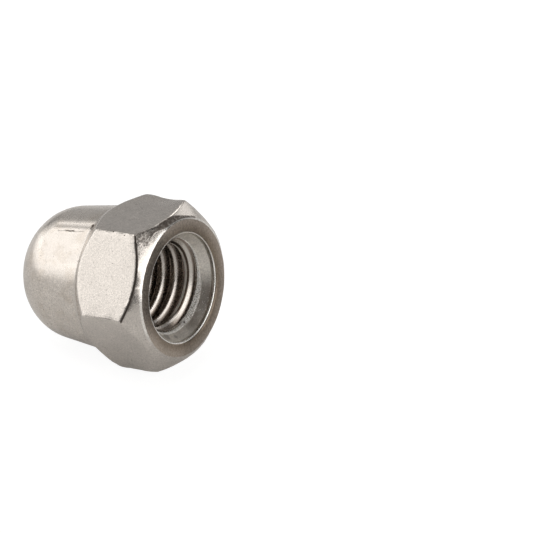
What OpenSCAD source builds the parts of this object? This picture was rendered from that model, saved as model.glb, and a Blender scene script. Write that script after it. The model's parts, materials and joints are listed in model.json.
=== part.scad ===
// Hex cap nut with a closed dome and a blind tapped hole.
// It lies on its side as it comes to rest: the rear edge of one flat and the dome touch the ground,
// and the open end is raised. The nut's own frame has its bearing face at z = 0 and its dome up.

/* [Hexagon] */
// Width across the flats
across_flats = 19.05; // [16:0.05:24]
// Radius of the hexagon's upright edges
edge_r = 0.4; // [0.1:0.05:1]
// Diameter of the flat bearing face
face_d = 17.4; // [15.5:0.05:18.5]
// Angle between the bearing face and the chamfer round it
front_angle = 39.5; // [25:0.5:45]
// Height above the bearing face at which the hexagon's corners end
corner_h = 7.8; // [5:0.1:10]
// Angle between the bearing face and the chamfer at the dome's side
rear_angle = 50; // [40:0.5:60]

/* [Dome] */
// Height of the dome's foot above the bearing face
foot_h = 10.3; // [8:0.1:12]
// Diameter of the dome at its foot
dome_d = 18.3; // [16:0.1:18.8]
// Height of the whole nut
total_h = 22.2; // [20:0.1:26]
// Angle by which the dome's side leans in
dome_draft = 7.6; // [2:0.1:9]
// Radius that turns the dome's side into its crown
shoulder_r = 7; // [4:0.1:8]
// Radius of the crown
crown_r = 16.5; // [12:0.5:30]
// Radius of the fillet between the rear chamfer and the dome
foot_fillet_r = 0.8; // [0.2:0.1:1.2]

/* [Tapped hole] */
// Nominal diameter of the thread
thread_d = 12.7; // [8:0.1:13]
// Pitch of the thread
thread_pitch = 1.954; // [0.8:0.002:2]
// Diameter of the hole's mouth, inside its rounded rim
mouth_d = 13.85; // [13.2:0.05:14.5]
// Radius of the rim
mouth_edge = 0.5; // [0.1:0.05:0.8]
// Depth of the smooth countersunk recess in front of the thread
recess_h = 2; // [1:0.1:4]
// Diameter of the recess at its bottom
recess_d = 12; // [11.2:0.05:13]
// Depth of the lead between the recess and the hole's full diameter
lead_h = 1.6; // [0.4:0.1:3]
// Depth of the hole's full diameter
drill_h = 15.2; // [10:0.1:16.5]
// Included angle of the drill's point
point_angle = 118; // [90:1:140]

/* [Hidden] */
$fn = 96;
steel = [0.71, 0.69, 0.66];
cut = 1;

flat_r = across_flats / 2;
corner_r = flat_r / cos(30);
face_r = face_d / 2;
dome_r = dome_d / 2;
mouth_r = mouth_d / 2;
recess_r = recess_d / 2;
// a 60 degree internal thread leaves a hole 1.0825 pitches smaller than its nominal diameter
hole_r = (thread_d - 1.0825 * thread_pitch) / 2;
point_h = hole_r / tan(point_angle / 2);

// In the section, x is the distance from the axis and y the height. A straight side is held as its
// outward normal and that normal's product with a point on the side.
function side(angle, point) = [[cos(angle), sin(angle)], [cos(angle), sin(angle)] * point];
function crossing(a, b, out) =
    let (turn = cross(a[0], b[0]), p = a[1] + out, q = b[1] + out)
    [(p * b[0].y - q * a[0].y) / turn, (q * a[0].x - p * b[0].x) / turn];
function arc(centre, r, from, to, step = 5) =
    let (steps = ceil(abs(to - from) / step))
    [for (i = [0:steps]) let (a = from + (to - from) * i / steps) centre + r * [cos(a), sin(a)]];

rear_turn = 90 - rear_angle;
rear_side = side(rear_turn, [corner_r, corner_h]);
dome_side = side(dome_draft, [dome_r, foot_h]);
fillet_c = crossing(rear_side, dome_side, foot_fillet_r);

// The shoulder's centre is one shoulder radius inside the dome's side and, so that the shoulder runs
// into the crown, the difference of both radii from the crown's centre.
crown_c = [0, total_h - crown_r];
shoulder_gap = dome_side[0] * crown_c - dome_side[1] + shoulder_r;
shoulder_turn = acos(-shoulder_gap / (crown_r - shoulder_r)) + dome_draft;
shoulder_c = crown_c + (crown_r - shoulder_r) * [cos(shoulder_turn), sin(shoulder_turn)];

// The ground line runs from the rear edge of the lowest flat and touches the dome's shoulder.
rest_edge = [flat_r, corner_h + (corner_r - flat_r) * tan(rear_angle)];
to_shoulder = [rest_edge.x - shoulder_c.x, shoulder_c.y - rest_edge.y];
rest_tilt = acos(shoulder_r / norm(to_shoulder)) - atan2(to_shoulder.y, to_shoulder.x);
ground_r = rest_edge.x * cos(rest_tilt) + rest_edge.y * sin(rest_tilt);
front_reach = face_r * sin(rest_tilt);
rear_reach = shoulder_turn > 90 - rest_tilt
    ? shoulder_c.x * sin(rest_tilt) + shoulder_c.y * cos(rest_tilt) + shoulder_r
    : crown_c.y * cos(rest_tilt) + crown_r;

// Hexagonal bar with rounded edges, a flat facing +X
module hexagon_bar() {
    edge_c = corner_r - edge_r / cos(30);
    linear_extrude(total_h + cut)
        polygon([
            for (turn = [30:60:330])
                each arc(edge_c * [cos(turn), sin(turn)], edge_r, turn - 30, turn + 30, step = 15)
        ]);
}

// The nut's turned outline: both chamfers run past the hexagon's corners, and a fillet leads from the
// rear one into the dome's side, its shoulder and its crown
module turned_outline() {
    out_r = corner_r + cut;
    rotate_extrude()
        polygon([
            [0, 0],
            [face_r, 0],
            [out_r, (out_r - face_r) * tan(front_angle)],
            [out_r, corner_h - cut * tan(rear_angle)],
            each arc(fillet_c, foot_fillet_r, rear_turn + 180, dome_draft + 180),
            each arc(shoulder_c, shoulder_r, dome_draft, shoulder_turn),
            each arc(crown_c, crown_r, shoulder_turn, 90)
        ]);
}

// Rounded rim, countersunk recess, lead, drilled hole at the thread's inner diameter and drill point
module tapped_hole() {
    rim_c = [mouth_r + mouth_edge, mouth_edge];
    rotate_extrude()
        polygon([
            [0, -cut],
            [rim_c.x, -cut],
            each arc(rim_c, mouth_edge, 270, 180, step = 15),
            [recess_r, recess_h],
            [hole_r, recess_h + lead_h],
            [hole_r, drill_h],
            [0, drill_h + point_h]
        ]);
}

module cap_nut() {
    color(steel)
        translate([(rear_reach - front_reach) / 2, 0, ground_r])
        rotate([0, -90 - rest_tilt, 0])
        difference() {
            intersection() {
                hexagon_bar();
                turned_outline();
            }
            tapped_hole();
        }
}

cap_nut();
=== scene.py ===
import json
from math import atan2, cos, hypot, pi, radians, sin, tan

import bmesh
import bpy
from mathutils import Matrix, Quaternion, Vector


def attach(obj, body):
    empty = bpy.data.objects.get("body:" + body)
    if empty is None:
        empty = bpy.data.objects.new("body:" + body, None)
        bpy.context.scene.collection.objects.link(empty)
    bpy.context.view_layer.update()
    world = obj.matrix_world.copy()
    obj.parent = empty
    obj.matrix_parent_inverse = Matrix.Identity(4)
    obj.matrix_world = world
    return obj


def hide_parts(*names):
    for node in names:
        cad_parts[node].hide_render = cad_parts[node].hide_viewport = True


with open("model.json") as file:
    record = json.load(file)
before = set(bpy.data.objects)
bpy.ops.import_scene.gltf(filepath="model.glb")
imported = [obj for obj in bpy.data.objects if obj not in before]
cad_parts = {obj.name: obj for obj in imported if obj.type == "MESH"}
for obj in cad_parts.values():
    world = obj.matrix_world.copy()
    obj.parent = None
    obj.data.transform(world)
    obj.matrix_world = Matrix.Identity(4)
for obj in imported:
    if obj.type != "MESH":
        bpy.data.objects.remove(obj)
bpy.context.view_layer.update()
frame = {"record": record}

millimetre = 0.001

# The nut is modelled in millimetres with its bearing face at z = 0 and its dome up,
# and is laid down and brought to metres at the end.
weld = 0.0005  # points nearer than this are one
snap = 0.0001  # a cut goes through points nearer than this
slack = 0.01  # places nearer than this count as level


def newPoint(name):
    # one loose vertex at the origin, in edit mode
    bpy.ops.object.select_all(action="DESELECT")
    bpy.ops.mesh.primitive_plane_add(size=1, location=(0, 0, 0))
    bpy.context.object.name = name
    bpy.ops.object.mode_set(mode="EDIT")
    bpy.ops.mesh.select_mode(type="VERT")
    bpy.ops.mesh.merge(type="CENTER")
    return bpy.context.object


def drawSection(name, points):
    # extrudes a point along (radius, height) places
    obj = newPoint(name)
    bpy.ops.transform.translate(value=(points[0][0], 0, points[0][1]))
    for here, there in zip(points, points[1:]):
        step = (there[0] - here[0], 0, there[1] - here[1])
        bpy.ops.mesh.extrude_region_move(TRANSFORM_OT_translate={"value": step})
    return obj


def closeUp():
    # joins the doubles, turns every face outwards and leaves edit mode
    bpy.ops.mesh.select_all(action="SELECT")
    bpy.ops.mesh.remove_doubles(threshold=weld)
    bpy.ops.mesh.normals_make_consistent(inside=False)
    bpy.ops.object.mode_set(mode="OBJECT")


def turnSolid(name, points, steps):
    # a section from axis to axis, spun into a closed solid
    obj = drawSection(name, points)
    bpy.ops.mesh.select_all(action="SELECT")
    bpy.ops.mesh.spin(steps=steps, angle=2 * pi, center=(0, 0, 0), axis=(0, 0, 1))
    closeUp()
    return obj


def around(angle):
    # the direction at an angle round the axis, the first flat facing 0 degrees
    return Vector((cos(radians(angle)), sin(radians(angle)), 0))


def arc(centre, radius, start, end, count):
    turns = [radians(start + (end - start) * i / count) for i in range(count + 1)]
    return [(centre[0] + radius * cos(a), centre[1] + radius * sin(a)) for a in turns]


def applyModifier(obj, kind, **settings):
    bpy.ops.object.select_all(action="DESELECT")
    obj.select_set(True)
    bpy.context.view_layer.objects.active = obj
    modifier = obj.modifiers.new(kind.title(), kind)
    for key, value in settings.items():
        setattr(modifier, key, value)
    bpy.ops.object.modifier_apply(modifier=modifier.name)


def cutWith(obj, tool, operation):
    applyModifier(obj, "BOOLEAN", operation=operation, object=tool, solver="EXACT")
    bpy.data.objects.remove(tool)


def startEdit(obj):
    bpy.ops.object.select_all(action="DESELECT")
    obj.select_set(True)
    bpy.context.view_layer.objects.active = obj
    bpy.ops.object.mode_set(mode="EDIT")
    bpy.ops.mesh.select_all(action="DESELECT")


def pickFaces(obj, test):
    # selects the faces whose centre and normal pass a test
    mesh = bmesh.from_edit_mesh(obj.data)
    bpy.ops.mesh.select_mode(type="FACE")
    bpy.ops.mesh.select_all(action="DESELECT")
    for face in mesh.faces:
        if test(face.calc_center_median(), face.normal):
            face.select_set(True)
    bmesh.update_edit_mesh(obj.data)


def pickEdges(obj, test):
    # selects the edges whose two ends and face angle pass a test
    mesh = bmesh.from_edit_mesh(obj.data)
    bpy.ops.mesh.select_mode(type="EDGE")
    bpy.ops.mesh.select_all(action="DESELECT")
    for edge in mesh.edges:
        ends = [v.co for v in edge.verts]
        if edge.is_manifold and test(ends[0], ends[1], edge.calc_face_angle(0)):
            edge.select_set(True)
    bmesh.update_edit_mesh(obj.data)


body = {
    "flatR": 9.525,
    "edgeR": 0.4,
    "faceR": 8.7,
    "frontAngle": 39.5,
    "cornerH": 7.8,
    "rearAngle": 50,
    "filletCentre": (9.959, 10.283),
    "filletR": 0.8,
    "shoulderCentre": (1.449, 15.0888),
    "shoulderR": 7,
    "shoulderTurn": 81.2267,
    "crownCentre": (0, 5.7),
    "crownR": 16.5,
    "draft": 7.6,
    "segments": 180,
    "beyond": 1,
    "uprightAngle": 50,
    "uprightH": 1,
    "softAngle": 25,
    "faceEdge": 0.09,
    "softEdge": 0.21,
}


def makeBody(s):
    # both chamfers run on beyond the corners
    outR = s["flatR"] / cos(radians(30)) + s["beyond"]
    section = [
        (0, 0),
        (s["faceR"], 0),
        (outR, (outR - s["faceR"]) * tan(radians(s["frontAngle"]))),
        (outR, s["cornerH"] - s["beyond"] * tan(radians(s["rearAngle"]))),
    ]
    section += arc(s["filletCentre"], s["filletR"], 270 - s["rearAngle"], 180 + s["draft"], 5)
    section += arc(s["shoulderCentre"], s["shoulderR"], s["draft"], s["shoulderTurn"], 24)
    section += arc(s["crownCentre"], s["crownR"], s["shoulderTurn"], 90, 5)[1:]
    obj = turnSolid("capNut", section, s["segments"])
    # six flats are milled
    startEdit(obj)
    for turn in range(0, 360, 60):
        across = around(turn)
        bpy.ops.mesh.select_all(action="SELECT")
        bpy.ops.mesh.bisect(
            plane_co=across * s["flatR"], plane_no=across, use_fill=True, clear_outer=True,
            threshold=snap)
    bpy.ops.mesh.select_all(action="SELECT")
    bpy.ops.mesh.remove_doubles(threshold=weld)
    # upright edges between the flats, then the edges round each flat and the bearing face
    sharp = radians(s["softAngle"])
    upright = radians(s["uprightAngle"])
    pickEdges(obj, lambda a, b, angle: angle > upright and abs(a.z - b.z) > s["uprightH"])
    bpy.ops.mesh.bevel(offset=s["edgeR"] * tan(radians(30)), segments=4, affect="EDGES")
    pickEdges(obj, lambda a, b, angle: angle > sharp and max(a.z, b.z) < slack)
    bpy.ops.mesh.bevel(offset=s["faceEdge"], segments=2, affect="EDGES", clamp_overlap=False)
    pickEdges(obj, lambda a, b, angle: angle > sharp)
    bpy.ops.mesh.bevel(offset=s["softEdge"], segments=3, affect="EDGES", clamp_overlap=False)
    closeUp()
    return obj


nut = makeBody(body)
print("body", len(nut.data.polygons), "faces")

# Tumbling: the edges wander a little, the faces swell a little and some places are knocked in.
tumbling = {
    "cut": 0.6,
    "lastCut": 9,
    "sideCuts": 9,
    "cornerR": 10.75,
    "cornerWander": 0.2,
    "edgeAngle": 7,
    "edgesEnd": 9.2,
    "edgeWander": 0.05,
    "wanderSize": 1.7,
    "swell": 0.035,
    "swellSize": 3,
    # angle round the axis, radius, height, reach and depth of each knock
    "knocks": [
        (30, 10.95, 4.4, 3, 0.22),
        (-150, 10.95, 1.9, 1.3, 0.06),
        (-150, 10.95, 7.8, 1.3, 0.14),
        (-30, 10.95, 5.2, 0.6, 0.1),
        (-30, 10.95, 3.4, 0.5, 0.07),
        (-21, 9.2, 10.2, 0.5, 0.12),
        (-90, 10.95, 5.3, 1.9, 0.08),
        (-90, 10.95, 2.9, 1.6, 0.05),
        (90, 10.95, 6.5, 2, 0.12),
        (90, 10.95, 4.2, 1.6, 0.06),
        (150, 10.95, 3, 2.2, 0.14),
    ],
}


def displaceWith(obj, size, depth, colour, **settings):
    clouds = bpy.data.textures.new("clouds", "CLOUDS")
    clouds.noise_scale = size
    clouds.noise_depth = depth
    clouds.cloud_type = "COLOR" if colour else "GRAYSCALE"
    applyModifier(obj, "DISPLACE", texture=clouds, texture_coords="LOCAL", **settings)
    bpy.data.textures.remove(clouds)


def tumble(obj, s):
    # every face up to the rear chamfer is cut into small fields first
    startEdit(obj)
    for i in range(1, int(s["lastCut"] / s["cut"]) + 1):
        bpy.ops.mesh.select_all(action="SELECT")
        bpy.ops.mesh.bisect(plane_co=(0, 0, i * s["cut"]), plane_no=(0, 0, 1), threshold=snap)
    for turn in range(0, 360, 60):
        across = around(turn)
        along = Vector((-across.y, across.x, 0))
        for i in range(-s["sideCuts"], s["sideCuts"] + 1):
            pickFaces(obj, lambda centre, normal: normal.dot(across) > 0.99)
            bpy.ops.mesh.bisect(plane_co=along * s["cut"] * i, plane_no=along, threshold=snap)
    bpy.ops.object.mode_set(mode="OBJECT")
    tests = {
        "corners": lambda a, b, angle: min(hypot(a.x, a.y), hypot(b.x, b.y)) > s["cornerR"],
        "edges": lambda a, b, angle: angle > radians(s["edgeAngle"]) and max(a.z, b.z) < s["edgesEnd"],
    }
    for name, strength in (("corners", s["cornerWander"]), ("edges", s["edgeWander"])):
        startEdit(obj)
        pickEdges(obj, tests[name])
        group = obj.vertex_groups.new(name=name)
        obj.vertex_groups.active_index = group.index
        bpy.ops.object.vertex_group_assign()
        bpy.ops.object.mode_set(mode="OBJECT")
        displaceWith(
            obj, s["wanderSize"], 1, True, direction="RGB_TO_XYZ", vertex_group=name, strength=strength,
            mid_level=0.5)
        obj.vertex_groups.remove(obj.vertex_groups[name])
    displaceWith(obj, s["swellSize"], 0, False, direction="NORMAL", strength=s["swell"], mid_level=0.8)
    for angle, radius, height, reach, depth in s["knocks"]:
        inwards = -around(angle)
        place = -inwards * radius + Vector((0, 0, height))
        startEdit(obj)
        bpy.ops.mesh.select_mode(type="VERT")
        mesh = bmesh.from_edit_mesh(obj.data)
        min(mesh.verts, key=lambda v: (v.co - place).length).select_set(True)
        bmesh.update_edit_mesh(obj.data)
        bpy.ops.transform.translate(
            value=inwards * depth, use_proportional_edit=True, proportional_edit_falloff="SMOOTH",
            proportional_size=reach)
        bpy.ops.object.mode_set(mode="OBJECT")


tumble(nut, tumbling)
print("tumbled", len(nut.data.polygons), "faces")

# Blind hole: a round rim, a thin burr inside it, a recess, a lead and the drilled hole.
hole = {
    "rimCentre": (7.42, 0.5),
    "rimR": 0.5,
    "rimTurn": (270, 222),
    "burrCentre": (7, 0.29),
    "burrR": 0.11,
    "burrTurn": (290, 180),
    "lip": (6.9, 0.75),
    "recessR": 6,
    "recessH": 2,
    "boreR": 5.26,
    "leadH": 1.25,
    "drillH": 15.2,
    "pointAngle": 118,
    "segments": 180,
    "softAngle": 8,
    "softFrom": 0.7,
    "softTo": 4,
    "softEdge": 0.06,
}


def makeHole(s):
    section = [(0, -1), (s["rimCentre"][0], -1)]
    section += arc(s["rimCentre"], s["rimR"], *s["rimTurn"], 5)
    section += arc(s["burrCentre"], s["burrR"], *s["burrTurn"], 6)
    section += [
        s["lip"],
        (s["recessR"], s["recessH"]),
        (s["boreR"], s["recessH"] + s["leadH"]),
        (s["boreR"], s["drillH"]),
        (0, s["drillH"] + s["boreR"] / tan(radians(s["pointAngle"] / 2))),
    ]
    obj = turnSolid("drill", section, s["segments"])
    # the corners of the recess are a little round
    startEdit(obj)
    pickEdges(obj, lambda a, b, angle: (
        angle > radians(s["softAngle"]) and s["softFrom"] < a.z < s["softTo"] and abs(a.z - b.z) < slack))
    bpy.ops.mesh.bevel(offset=s["softEdge"], segments=2, affect="EDGES")
    closeUp()
    return obj


thread = {
    "crestR": 5.2924,
    "rootR": 6.35,
    "pitch": 1.954,
    "firstCrest": 4.96,
    "below": 3,  # turns before the first crest
    "turns": 8,
    "steps": 120,
    "crestRound": 0.15,
    "rootRound": 0.12,
    "start": 1,
    "fullH": 11.5,
    "endH": 13.8,
    "clearance": 0.5,
    "endInset": 0.3,
    "weld": 0.001,
}


def makeTap(s):
    # one pitch of the thread's section, from the middle of one crest to the next
    pitch = s["pitch"]
    halfCrest = pitch / 8
    flank = (s["rootR"] - s["crestR"]) * tan(radians(30))
    low = s["firstCrest"] - s["below"] * pitch
    high = low + pitch
    section = [
        (s["crestR"], low),
        (s["crestR"], low + halfCrest),
        (s["rootR"], low + halfCrest + flank),
        (s["rootR"], high - halfCrest - flank),
        (s["crestR"], high - halfCrest),
        (s["crestR"], high),
    ]
    obj = drawSection("tap", section)
    for radius, size in ((s["crestR"], s["crestRound"]), (s["rootR"], s["rootRound"])):
        mesh = bmesh.from_edit_mesh(obj.data)
        bpy.ops.mesh.select_mode(type="VERT")
        bpy.ops.mesh.select_all(action="DESELECT")
        for v in mesh.verts:
            if abs(v.co.x - radius) < s["weld"] and low + slack < v.co.z < high - slack:
                v.select_set(True)
        bmesh.update_edit_mesh(obj.data)
        bpy.ops.mesh.bevel(offset=size, segments=3, affect="VERTICES")
    bpy.ops.object.mode_set(mode="OBJECT")
    applyModifier(
        obj, "SCREW", screw_offset=pitch, iterations=s["turns"], steps=s["steps"],
        render_steps=s["steps"], use_normal_calculate=True)
    startEdit(obj)
    bpy.ops.mesh.select_all(action="SELECT")
    bpy.ops.mesh.remove_doubles(threshold=s["weld"])
    bpy.ops.mesh.select_all(action="DESELECT")
    bpy.ops.mesh.select_non_manifold()
    bpy.ops.mesh.fill_holes(sides=0)
    closeUp()
    # its ends are turned: flat at the mouth, tapered at the bottom
    clearR = s["rootR"] + s["clearance"]
    envelope = turnSolid("envelope", [
        (0, s["start"]),
        (clearR, s["start"]),
        (clearR, s["fullH"]),
        (s["crestR"] - s["endInset"], s["endH"]),
        (0, s["endH"]),
    ], s["steps"])
    cutWith(obj, envelope, "INTERSECT")
    return obj


cutWith(nut, makeHole(hole), "DIFFERENCE")
print("hole", len(nut.data.polygons), "faces")
cutWith(nut, makeTap(thread), "DIFFERENCE")
print("thread", len(nut.data.polygons), "faces")

# The nut is laid down as the CAD part lies, from its bearing face.
mounts = {m["name"]: m for m in frame["record"]["mounts"]}
outwards = Vector(mounts["thread"]["axis"])
onAxis = Vector(mounts["thread"]["pos_m"])
faceAt = onAxis + outwards * outwards.dot(Vector(mounts["bearing_face"]["pos_m"]) - onAxis)
lyingTurn = (0, -pi / 2 - atan2(outwards.z, outwards.x), 0)
finish = {
    "weld": 0.004,
    "shortest": 0.001,
    "smoothAngle": 32,
    "normalWeight": 50,
}


def layDown(obj, s):
    startEdit(obj)
    bpy.ops.mesh.select_all(action="SELECT")
    bpy.ops.mesh.remove_doubles(threshold=s["weld"])
    bpy.ops.mesh.dissolve_degenerate(threshold=s["shortest"])
    bpy.ops.mesh.normals_make_consistent(inside=False)
    bpy.ops.object.mode_set(mode="OBJECT")
    obj.rotation_euler = lyingTurn
    obj.scale = (millimetre, millimetre, millimetre)
    obj.location = faceAt
    bpy.ops.object.transform_apply(location=True, rotation=True, scale=True)
    bpy.ops.object.shade_smooth_by_angle(angle=radians(s["smoothAngle"]))
    applyModifier(obj, "WEIGHTED_NORMAL", keep_sharp=True, weight=s["normalWeight"])


layDown(nut, finish)
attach(nut, "root")
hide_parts("cap_nut")
print("laid down")

# All of it is one steel. Where a place lies, in the nut's own millimetres and in degrees round its axis,
# decides how it was worked: tumbled outside, turned on the bearing face, smooth in the recess, and dull
# deep in the thread. Light and shade are also painted into the colour: painted highlights on the thread's
# flanks and the front chamfer's edge, painted shade in the thread's roots, along seams and on the bearing
# face, and painted light on the dome. Two numbers say from where to where one thing goes over into the
# next. Three say from where to where a thing lies and how soft its ends are.
steel = {
    "outside": (0.62, 0.572, 0.522, 1),
    # painted light: the dome's steel is a lighter copy of the outside steel
    "dome": (0.68, 0.625, 0.568, 1),
    "stained": (0.52, 0.45, 0.375, 1),
    # bearing face: its own turned tone, darkened by a painted dark reflection
    "faceInnerToneAndReflection": (0.18, 0.144, 0.111, 1),
    "faceOuterToneAndReflection": (0.31, 0.264, 0.222, 1),
    # bright steel of the burrs, also the colour of the painted highlight on the front chamfer
    "burrAndHighlight": (0.96, 0.93, 0.88, 1),
    "recess": (0.78, 0.735, 0.67, 1),
    # colours of the thread: the flank colour is a painted highlight, the root colour painted shade
    "crest": (0.36, 0.31, 0.265, 1),
    "flank": (0.64, 0.59, 0.54, 1),
    "root": (0.3, 0.25, 0.21, 1),
    "firstCrest": (0.95, 0.87, 0.79, 1),
    "firstFlank": (0.6, 0.555, 0.505, 1),
    "drilled": (0.2, 0.17, 0.14, 1),
    # dark of soot on the marks, also used for painted shade
    "sootAndShade": (0.055, 0.038, 0.027, 1),
    "roughOutside": 0.22,
    "roughDome": 0.25,
    "roughFace": 0.38,
    "roughRecess": 0.45,
    "roughThread": 0.27,
    "roughBurr": 0.25,
    "roughTorn": 0.6,
    "roughVaries": 0.14,
    "roughInDark": 0.3,
    "bump": 0.000008,
    # size, detail and roughness of each noise
    "noises": {
        "fine": (0.2, 3.0, 0.65),
        "blotch": (1.6, 3.0),
        "tear": (0.13, 1.0),
        "wobble": (0.5, 3.0, 0.7),
        "faceGrain": (0.35, 4.0, 0.8),
        "patches": (1.9, 4.0, 0.65),
        "drift": (1.3, 2.0),
        "creases": (0.33, 3.0, 0.6),
        "pits": (0.3, 1.0),
        "speckles": (0.19, 1.0),
        "ragged": (0.35, 2.0),
    },
    "linesPerMillimetre": 6.0,
    "edgeSway": 0.1,
    "creaseSway": 0.3,
    # radii
    "holeEdge": (7.02, 7.08),
    "face": (6.8, 8.66, 0.05),
    "faceFade": (7.2, 8.6),
    # ring of the painted highlight on the front chamfer
    "paintedHighlightRing": (8.68, 8.92, 0.05),
    "firstCrestEdge": (5.3, 5.34),
    # painted highlights on the thread's flanks and painted shade in its roots and at the first crest's
    # edge, by radius
    "deepPaintedLight": [("flank", 5.3, 5.42), ("root", 5.58, 5.74)],
    "firstPaintedLight": [
        ("sootAndShade", 5.3, 5.34),
        ("firstFlank", 5.5, 5.62),
        ("root", 5.9, 6.06),
        ("crest", 6.16, 6.26),
    ],
    # heights
    "mouth": (0.14, 0.18),
    "faceEnd": (0.3, 0.4),
    "burrEnd": (0.34, 0.48),
    "ring": (1.9, 2.24, 0.06),
    "wideRing": (1.75, 2.5, 0.1),
    "turnedEnd": (2.0, 2.2),
    "threadStart": (2.15, 2.3),
    "firstTurn": (3.85, 4.15),
    "drilledStart": (13.6, 14.2),
    "holeEnd": (18.5, 18.8),
    "domeStart": (9.8, 10.6),
    "chamferDepth": (0.12, 0.2),
    # angles
    "wideRingTurn": (112.0, 164.0, 8.0),
    "recessDarkTurn": (112.0, 166.0, 6.0),
    "fleckTurn": (112.0, 150.0, 10.0),
    "firstTurnFade": (148.0, 176.0),
    "dimBurrTurn": (-15.0, 80.0, 12.0),
    "paintedHighlightTurn": (-112.0, 95.0, 10.0),
    "polishedTurn": (-64.0, 10.0, 8.0),
    # two angles, softness and change of the painted shade and painted reflections on the bearing face
    "facePaintedLight": [(-98, -15, 12, -0.52), (-165, -112, 12, 0.42), (50, 100, 15, 0.2)],
    # how much of each shows
    "recessDark": 0.75,
    "dimBurr": 0.6,
    "paintedHighlight": 0.65,
    "patches": 0.4,
    "pits": 0.35,
    "speckles": 0.3,
    # angle round the axis, radius, height, size and darkness of the spots
    "spots": [
        (-19.3, 9.07, 10.22, 0.28, 0.9),
        (-20.8, 9.1, 10.14, 0.28, 0.9),
        (-22.6, 9.15, 10.12, 0.24, 0.9),
        (164.3, 6, 2.07, 0.24, 0.95),
        (-29.3, 10.9, 5.24, 0.22, 0.9),
        (-31, 10.9, 3.38, 0.14, 0.9),
        (-153, 6.25, 1.6, 0.7, 0.36),
        (-168, 6.4, 1.4, 0.4, 0.35),
    ],
    "spotCore": 0.4,
    "spotRagged": 1.1,
    # crumpled patch on the front chamfer, outside a radius
    "hammered": {"turn": (-33.5, -13, 1.5), "edge": (9.28, 9.44), "sway": 6.0},
    # painted shade along the edge and in streaks on the chamfer of another flat, by the distance in that
    # flat's direction
    "seamShade": {"flat": -60, "across": (9.36, 9.5, 0.04), "dark": 0.88},
    "shadeStreaks": {"turn": (-84, -60, 5.0), "start": (9.05, 9.36), "end": (9.46, 9.52), "dark": 0.78},
    # painted dark reflection, a strip on the chamfer below the first flat: its inner and outer radius
    # change along it
    "strip": {
        "turn": (-27, 33, 3.0),
        "inner": (-22.0, -3.0, 9.45, 8.78),
        "outer": (-4.0, 24.0, 9.6, 9.06),
        "sway": 0.25,
        "soft": 0.05,
        "flatEdge": (9.44, 9.52),
        "dark": 0.86,
    },
    # dark line that runs up the dome
    "domeDarkLine": {
        "angle": -26.6,
        "half": 0.7,
        "soft": 0.4,
        "sway": 1.5,
        "run": (10.9, 15.2, 0.3),
        "dark": 0.85,
    },
}


def addNode(tree, kind, inputs, **settings):
    node = tree.nodes.new(kind)
    for key, value in settings.items():
        setattr(node, key, value)
    for key, value in inputs.items():
        if isinstance(value, bpy.types.NodeSocket):
            tree.links.new(value, node.inputs[key])
        else:
            node.inputs[key].default_value = value
    return node


def calc(tree, operation, a, b=0.0, c=0.0):
    return addNode(tree, "ShaderNodeMath", {0: a, 1: b, 2: c}, operation=operation).outputs[0]


def times(tree, first, *others):
    for other in others:
        first = calc(tree, "MULTIPLY", first, other)
    return first


def either(tree, a, b):
    return calc(tree, "MAXIMUM", a, b)


def sway(tree, noise, reach):
    # turns a noise into a shift of up to reach to either side
    return calc(tree, "MULTIPLY_ADD", noise, 2 * reach, -reach)


def vary(tree, noise, amount):
    # turns a noise into a factor round 1
    return calc(tree, "MULTIPLY_ADD", noise, amount, 1 - amount / 2)


def rise(tree, value, low, high, start=0.0, end=1.0):
    # goes smoothly from start to end while value goes from low to high
    limits = {"Value": value, "From Min": low, "From Max": high, "To Min": start, "To Max": end}
    return addNode(tree, "ShaderNodeMapRange", limits, interpolation_type="SMOOTHSTEP").outputs["Result"]


def fall(tree, value, low, high):
    return rise(tree, value, low, high, 1.0, 0.0)


def band(tree, value, low, high, soft):
    # 1 between low and high
    end = fall(tree, value, high - soft, high + soft)
    return times(tree, rise(tree, value, low - soft, low + soft), end)


def blend(tree, factor, a, b):
    return addNode(tree, "ShaderNodeMix", {0: factor, 6: a, 7: b}, data_type="RGBA").outputs[2]


def mixValue(tree, factor, a, b):
    return addNode(tree, "ShaderNodeMix", {0: factor, 2: a, 3: b}, data_type="FLOAT").outputs[0]


def vector(tree, operation, a, b=(0, 0, 0)):
    return addNode(tree, "ShaderNodeVectorMath", {0: a, 1: b}, operation=operation).outputs


def scaled(tree, colour, factor):
    return addNode(tree, "ShaderNodeVectorMath", {0: colour, 3: factor}, operation="SCALE").outputs[0]


def grain(tree, place, size, detail, rough=0.5):
    settings = {"Vector": place, "Scale": 1 / size, "Detail": detail, "Roughness": rough}
    return addNode(tree, "ShaderNodeTexNoise", settings).outputs["Fac"]


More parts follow.
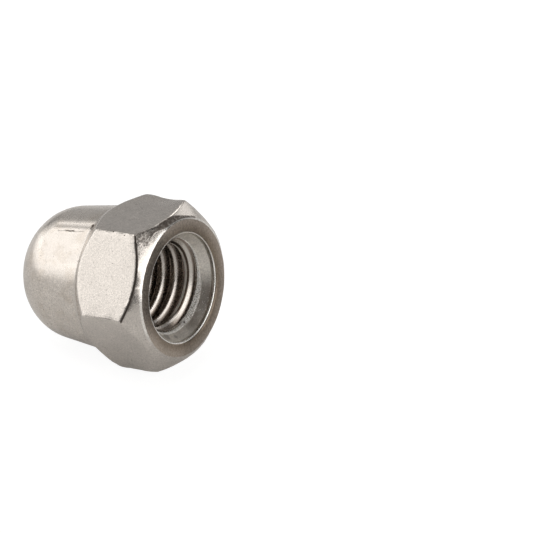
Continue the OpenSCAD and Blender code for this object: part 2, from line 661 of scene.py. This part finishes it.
def findPlaces(tree, s):
    # own place: x and y across the axis, z up from the bearing face
    lying = addNode(tree, "ShaderNodeTexCoord", {}).outputs["Object"]
    own = addNode(tree, "ShaderNodeMapping", {
        "Vector": lying,
        "Location": faceAt,
        "Rotation": lyingTurn,
        "Scale": (millimetre, millimetre, millimetre),
    }, vector_type="TEXTURE").outputs[0]
    parts = addNode(tree, "ShaderNodeSeparateXYZ", {0: own}).outputs
    height = parts["Z"]
    radius = vector(tree, "LENGTH", vector(tree, "MULTIPLY", own, (1, 1, 0))[0])["Value"]
    angle = times(tree, calc(tree, "ARCTAN2", parts["Y"], parts["X"]), 180 / pi)
    at = {name: grain(tree, own, *values) for name, values in s["noises"].items()}
    at.update(own=own, x=parts["X"], height=height, radius=radius, angle=angle)
    # lines of turning, round the axis
    lines = {"W": times(tree, radius, s["linesPerMillimetre"]), "Detail": 2.0}
    at["lines"] = addNode(tree, "ShaderNodeTexNoise", lines, noise_dimensions="1D").outputs["Fac"]

    # outside
    edgeR = calc(tree, "ADD", radius, sway(tree, at["wobble"], s["edgeSway"]))
    at["onFace"] = times(tree, band(tree, edgeR, *s["face"]), fall(tree, height, *s["faceEnd"]))
    slope = tan(radians(body["frontAngle"]))
    chamfer = calc(tree, "MULTIPLY_ADD", radius, slope, -body["faceR"] * slope)
    at["onChamfer"] = fall(tree, calc(tree, "SUBTRACT", height, chamfer), *s["chamferDepth"])
    # painted highlight: a bright ring painted on the front chamfer by the bearing face
    at["onShine"] = times(
        tree, at["onChamfer"], band(tree, edgeR, *s["paintedHighlightRing"]), band(tree, angle, *s["paintedHighlightTurn"]),
        s["paintedHighlight"])
    at["onDome"] = rise(tree, height, *s["domeStart"])
    at["polished"] = times(tree, at["onDome"], band(tree, angle, *s["polishedTurn"]))

    # hole, with a torn ring where the recess meets the thread
    at["inHole"] = times(
        tree, fall(tree, radius, *s["holeEdge"]), rise(tree, height, *s["mouth"]),
        fall(tree, height, *s["holeEnd"]))
    at["onBurr"] = fall(tree, height, *s["burrEnd"])
    at["inThread"] = rise(tree, height, *s["threadStart"])
    at["atBottom"] = rise(tree, height, *s["drilledStart"])
    wideRing = times(tree, band(tree, height, *s["wideRing"]), band(tree, angle, *s["wideRingTurn"]))
    at["onRing"] = either(tree, band(tree, height, *s["ring"]), wideRing)
    at["torn"] = rise(tree, at["tear"], 0.36, 0.56)
    at["flecks"] = times(tree, rise(tree, at["tear"], 0.62, 0.72), band(tree, angle, *s["fleckTurn"]))
    # the first turn fades out where the angle starts again, so that no edge shows there
    turn = calc(tree, "MULTIPLY_ADD", angle, -thread["pitch"] / 360, height)
    early = times(tree, fall(tree, turn, *s["firstTurn"]), fall(tree, angle, *s["firstTurnFade"]))
    lowest = [limit - thread["pitch"] / 2 for limit in s["firstTurn"]]
    at["firstTurn"] = either(tree, early, fall(tree, height, *lowest))
    firstCrest = fall(tree, radius, *s["firstCrestEdge"])
    at["firstCrest"] = times(tree, at["inThread"], at["firstTurn"], firstCrest)
    return at


# paints the thread's highlights and shade by radius
def paintThreadLight(tree, s, at, crest, others):
    colour = s[crest]
    for name, low, high in others:
        colour = blend(tree, rise(tree, at["radius"], low, high), colour, s[name])
    return colour


def colourHole(tree, s, at):
    # painted light in the thread: painted highlights on the flanks between dull crests and roots of
    # painted shade, and its first turn is wider open
    deep = paintThreadLight(tree, s, at, "crest", s["deepPaintedLight"])
    first = paintThreadLight(tree, s, at, "firstCrest", s["firstPaintedLight"])
    screw = blend(tree, at["atBottom"], blend(tree, at["firstTurn"], deep, first), s["drilled"])
    # the recess is darker at one side, in blotches
    recessDark = times(
        tree, band(tree, at["angle"], *s["recessDarkTurn"]), rise(tree, at["blotch"], 0.3, 0.6, 0.6, 1.0))
    recess = blend(tree, times(tree, recessDark, s["recessDark"]), s["recess"], s["crest"])
    recess = blend(tree, at["flecks"], recess, s["burrAndHighlight"])
    within = blend(tree, at["inThread"], recess, screw)
    within = blend(tree, times(tree, at["onRing"], at["torn"]), within, s["burrAndHighlight"])
    dim = times(tree, band(tree, at["angle"], *s["dimBurrTurn"]), s["dimBurr"])
    return blend(tree, at["onBurr"], within, blend(tree, dim, s["burrAndHighlight"], s["crest"]))


def colourOutside(tree, s, at):
    # the bearing face is its turned tone with a painted dark reflection, darker towards the hole
    face = blend(tree, rise(tree, at["radius"], *s["faceFade"]), s["faceInnerToneAndReflection"], s["faceOuterToneAndReflection"])
    tone = times(
        tree, rise(tree, at["faceGrain"], 0.34, 0.66, 1.22, 0.78), vary(tree, at["lines"], 0.5))
    # painted shade and painted reflections: the bearing face is darker or lighter by the angle round the
    # axis
    for start, end, soft, change in s["facePaintedLight"]:
        tone = calc(tree, "MULTIPLY_ADD", band(tree, at["angle"], start, end, soft), change, tone)
    face = scaled(tree, face, tone)
    patches = times(tree, rise(tree, at["patches"], 0.46, 0.66), s["patches"])
    # the dome takes the lighter steel, painted light, with stained patches on it
    outside = blend(tree, at["onDome"], s["outside"], blend(tree, patches, s["dome"], s["stained"]))
    # the front chamfer has a painted highlight where it meets the bearing face
    return blend(tree, at["onFace"], blend(tree, at["onShine"], outside, s["burrAndHighlight"]), face)


def findSpot(tree, s, at, angle, radius, height, size):
    # 1 at a place and 0 from about size away, with a ragged outline
    spot = (radius * cos(radians(angle)), radius * sin(radians(angle)), height)
    ragged = times(tree, calc(tree, "SUBTRACT", at["ragged"], 0.5), size * s["spotRagged"])
    gap = calc(tree, "ADD", vector(tree, "DISTANCE", at["own"], spot)["Value"], ragged)
    return fall(tree, gap, size * s["spotCore"], size)


def findDark(tree, s, at):
    # adds the hammered patch to the places, and gives how dark each place is with marks and painted shade
    angle, radius, onChamfer, creases = at["angle"], at["radius"], at["onChamfer"], at["creases"]
    shaken = sway(tree, creases, s["creaseSway"])

    domeDarkLine = s["domeDarkLine"]
    wandering = calc(tree, "ADD", angle, sway(tree, at["drift"], domeDarkLine["sway"]))
    sides = (domeDarkLine["angle"] - domeDarkLine["half"], domeDarkLine["angle"] + domeDarkLine["half"])
    dark = times(
        tree, band(tree, wandering, *sides, domeDarkLine["soft"]), band(tree, at["height"], *domeDarkLine["run"]),
        rise(tree, at["blotch"], 0.35, 0.5, 0.3, 1.0), domeDarkLine["dark"])

    for *spot, darkness in s["spots"]:
        dark = either(tree, dark, times(tree, findSpot(tree, s, at, *spot), darkness))

    hammer = s["hammered"]
    shakenTurn = calc(tree, "ADD", angle, times(tree, shaken, hammer["sway"]))
    at["hammered"] = times(
        tree, onChamfer, band(tree, shakenTurn, *hammer["turn"]),
        rise(tree, calc(tree, "ADD", radius, shaken), *hammer["edge"]))
    dark = either(tree, dark, times(tree, at["hammered"], rise(tree, creases, 0.35, 0.65, 0.7, 0.1)))

    # painted dark reflection: a dark strip painted on the chamfer below the first flat
    strip = s["strip"]
    soft = strip["soft"]
    stripR = calc(tree, "MULTIPLY_ADD", shaken, strip["sway"], radius)
    overInner = calc(tree, "SUBTRACT", stripR, rise(tree, angle, *strip["inner"]))
    overOuter = calc(tree, "SUBTRACT", stripR, rise(tree, angle, *strip["outer"]))
    paintedDarkStrip = times(
        tree, onChamfer, band(tree, angle, *strip["turn"]), rise(tree, overInner, -soft, soft),
        fall(tree, overOuter, -soft, soft), rise(tree, at["x"], *strip["flatEdge"], strip["dark"], 0.0))
    dark = either(tree, dark, times(tree, paintedDarkStrip, rise(tree, creases, 0.45, 0.65, 1.0, 0.7)))

    # painted shade: a dark line along the seam of another flat, and dark streaks on the chamfer beside it
    seam, shadeStreaks = s["seamShade"], s["shadeStreaks"]
    toFlat = vector(tree, "DOT_PRODUCT", at["own"], around(seam["flat"]))["Value"]
    dark = either(tree, dark, times(tree, onChamfer, band(tree, toFlat, *seam["across"]), seam["dark"]))
    shadeStreaked = times(
        tree, onChamfer, band(tree, angle, *shadeStreaks["turn"]), shadeStreaks["dark"],
        rise(tree, toFlat, *shadeStreaks["start"]), rise(tree, creases, 0.4, 0.58))
    dark = either(tree, dark, times(tree, shadeStreaked, fall(tree, toFlat, *shadeStreaks["end"])))

    # pits all over the outside, and speckles on the dome where it isn't polished
    pits = times(tree, rise(tree, at["pits"], 0.69, 0.78), calc(tree, "SUBTRACT", 1.0, at["inHole"]))
    dark = either(tree, dark, times(tree, pits, s["pits"]))
    speckled = calc(tree, "SUBTRACT", at["onDome"], at["polished"])
    speckles = times(tree, speckled, rise(tree, at["speckles"], 0.58, 0.74))
    return either(tree, dark, times(tree, speckles, s["speckles"]))


def shadeColour(tree, s, at, colour):
    # grain outside, less of it where the dome is polished, and the cutter's lines in the thread
    unevenness = calc(tree, "MULTIPLY_ADD", at["polished"], -0.6, 0.9)
    shade = calc(tree, "MULTIPLY_ADD", calc(tree, "SUBTRACT", at["fine"], 0.5), unevenness, 1.0)
    shade = mixValue(tree, times(tree, at["inHole"], at["inThread"]), shade, vary(tree, at["lines"], 1.1))
    return scaled(tree, colour, times(tree, shade, vary(tree, at["blotch"], 0.24)))


def findMetallic(tree, at):
    # torn steel scatters light as a matt surface does
    torn = either(tree, times(tree, at["onRing"], at["torn"]), times(tree, at["flecks"], 0.8))
    crest = times(tree, at["firstCrest"], rise(tree, at["tear"], 0.3, 0.5, 0.3, 0.7))
    torn = either(tree, times(tree, at["inHole"], torn), crest)
    return calc(tree, "MULTIPLY_ADD", torn, -0.9, 1.0)


def findRoughness(tree, s, at, dark):
    outside = mixValue(tree, at["onDome"], s["roughOutside"], s["roughDome"])
    outside = mixValue(tree, at["onFace"], outside, s["roughFace"])
    within = mixValue(tree, at["inThread"], s["roughRecess"], s["roughThread"])
    within = mixValue(tree, at["atBottom"], within, s["roughRecess"])
    within = mixValue(tree, at["onBurr"], within, s["roughBurr"])
    within = mixValue(tree, either(tree, at["firstCrest"], at["onRing"]), within, s["roughTorn"])
    rough = mixValue(tree, at["inHole"], outside, within)
    noise = calc(tree, "ADD", at["fine"], at["blotch"])
    uneven = calc(tree, "MULTIPLY_ADD", noise, s["roughVaries"], -s["roughVaries"])
    return calc(tree, "ADD", rough, calc(tree, "ADD", uneven, times(tree, dark, s["roughInDark"])))


def makeRelief(tree, s, at):
    # pitted all over, with the marks of turning on the bearing face and in the recess
    inHole = at["inHole"]
    worked = either(tree, at["onFace"], times(tree, inHole, fall(tree, at["height"], *s["turnedEnd"])))
    turned = calc(tree, "ADD", at["lines"], times(tree, at["fine"], 0.6))
    relief = mixValue(tree, worked, at["fine"], turned)
    relief = mixValue(tree, times(tree, inHole, at["inThread"]), relief, times(tree, relief, 0.3))
    relief = mixValue(tree, times(tree, inHole, at["atBottom"]), relief, times(tree, turned, 1.5))
    relief = calc(tree, "ADD", relief, times(tree, at["onRing"], inHole, at["torn"], 7.0))
    relief = calc(tree, "ADD", relief, times(tree, at["hammered"], at["creases"], 6.0))
    heights = {"Height": relief, "Strength": 1.0, "Distance": s["bump"]}
    return addNode(tree, "ShaderNodeBump", heights).outputs[0]


def makeSteel(s):
    material = bpy.data.materials.new("tumbledSteel")
    material.use_nodes = True
    tree = material.node_tree
    at = findPlaces(tree, s)
    dark = findDark(tree, s, at)
    colour = blend(tree, at["inHole"], colourOutside(tree, s, at), colourHole(tree, s, at))
    # marks and painted shade darken the colour
    colour = blend(tree, dark, colour, s["sootAndShade"])
    results = {
        "Base Color": shadeColour(tree, s, at, colour),
        "Metallic": findMetallic(tree, at),
        "Roughness": findRoughness(tree, s, at, dark),
        "Normal": makeRelief(tree, s, at),
    }
    for name, result in results.items():
        tree.links.new(result, tree.nodes["Principled BSDF"].inputs[name])
    return material


nut.data.materials.clear()
nut.data.materials.append(makeSteel(steel))
print("steel", len(nut.active_material.node_tree.nodes), "nodes")


def aim(azimuth, elevation):
    # azimuth 0 looks towards -Y and 90 towards +X
    a, e = radians(azimuth), radians(elevation)
    return Vector((sin(a) * cos(e), -cos(a) * cos(e), sin(e)))


# Most of what the camera sees of the floor is its glow, and the steel sees little of it.
floorLook = {
    "size": 4,
    "colour": (0.775, 0.767, 0.757, 1),
    "glow": 1.25,
    "cameraShare": 0.73,
    "glossyShare": 0.115,
}


def makeFloor(s):
    bpy.ops.object.select_all(action="DESELECT")
    bpy.ops.mesh.primitive_plane_add(size=s["size"], location=(0, 0, 0))
    obj = bpy.context.object
    obj.name = "floor"
    material = bpy.data.materials.new("paleFloor")
    material.use_nodes = True
    tree = material.node_tree
    paint = tree.nodes["Principled BSDF"]
    paint.inputs["Base Color"].default_value = s["colour"]
    paint.inputs["Roughness"].default_value = 1
    paint.inputs["Specular IOR Level"].default_value = 0
    glow = addNode(tree, "ShaderNodeEmission", {"Strength": s["glow"]})
    rays = addNode(tree, "ShaderNodeLightPath", {}).outputs
    seen = times(tree, rays["Is Camera Ray"], s["cameraShare"])
    share = calc(tree, "MULTIPLY_ADD", rays["Is Glossy Ray"], s["glossyShare"], seen)
    mixed = addNode(tree, "ShaderNodeMixShader", {0: share, 1: paint.outputs[0], 2: glow.outputs[0]})
    tree.links.new(mixed.outputs[0], tree.nodes["Material Output"].inputs["Surface"])
    obj.data.materials.append(material)


makeFloor(floorLook)
print("floor")

# azimuth, elevation, width, height, distance and radiance of each, in degrees and metres
lamps = {
    "key": (-68.5, 31, 0.78, 0.38, 0.6, 1.4),
    "keyEdge": (-110.5, 31, 0.17, 0.38, 0.6, 0.63),
    "low": (-76, 6, 4.09, 0.74, 2.6, 1.3),
    "side": (96, 23, 0.6, 0.47, 0.6, 2.0),
    "back": (168, 17, 0.26, 0.26, 0.6, 0.7),
    "top": (-80, 72, 0.6, 0.45, 0.7, 1.85),
    "rim": (-166, 39, 0.17, 0.17, 0.6, 2.4),
}


def makeLamp(name, azimuth, elevation, width, height, distance, radiance):
    back = aim(azimuth, elevation)
    bpy.ops.object.light_add(type="AREA", location=back * distance)
    lamp = bpy.context.object
    lamp.name = name + "Softbox"
    lamp.rotation_euler = back.to_track_quat("Z", "Y").to_euler()
    lamp.data.shape = "RECTANGLE"
    lamp.data.size = width
    lamp.data.size_y = height
    lamp.data.energy = radiance * pi * width * height
    lamp.visible_camera = False


for name, settings in lamps.items():
    makeLamp(name, *settings)
print("lamps", len(lamps))

# The room is white to the camera and dark to the steel, with one pale side.
room = {
    "white": (1, 1, 1, 1),
    "pale": (0.42, 0.42, 0.42, 1),
    "dark": (0.07, 0.07, 0.07, 1),
    "paleAzimuth": -165,
    "paleElevation": 15,
    "paleFrom": 0.6,
    "paleTo": 0.85,
}


def makeRoom(s):
    world = bpy.data.worlds.new("studio")
    bpy.context.scene.world = world
    world.use_nodes = True
    tree = world.node_tree
    walls = tree.nodes["Background"]
    seen = addNode(tree, "ShaderNodeTexCoord", {}).outputs["Generated"]
    towards = vector(tree, "DOT_PRODUCT", seen, aim(s["paleAzimuth"], s["paleElevation"]))["Value"]
    tone = blend(tree, rise(tree, towards, s["paleFrom"], s["paleTo"]), s["dark"], s["pale"])
    tree.links.new(tone, walls.inputs["Color"])
    white = addNode(tree, "ShaderNodeBackground", {"Color": s["white"]})
    rays = addNode(tree, "ShaderNodeLightPath", {}).outputs
    sides = {0: rays["Is Camera Ray"], 1: walls.outputs[0], 2: white.outputs[0]}
    mixed = addNode(tree, "ShaderNodeMixShader", sides)
    tree.links.new(mixed.outputs[0], tree.nodes["World Output"].inputs["Surface"])


makeRoom(room)
print("room")

view = {
    "azimuth": 34.69,
    "elevation": 29.84,
    "roll": 0.23,
    "distance": 1.5,
    "lens": 815.3,
    "target": (0.018057, 0.006968, 0.013325),
}


def makeCamera(s):
    back = aim(s["azimuth"], s["elevation"])
    bpy.ops.object.camera_add(location=Vector(s["target"]) + back * s["distance"])
    camera = bpy.context.object
    turned = (-back).to_track_quat("-Z", "Y") @ Quaternion((0, 0, 1), radians(-s["roll"]))
    camera.rotation_euler = turned.to_euler()
    camera.data.lens = s["lens"]
    camera.data.clip_start = 0.1
    camera.data.clip_end = 20
    return camera


bpy.context.scene.camera = makeCamera(view)
bpy.context.scene.view_settings.view_transform = "Standard"
print("camera")
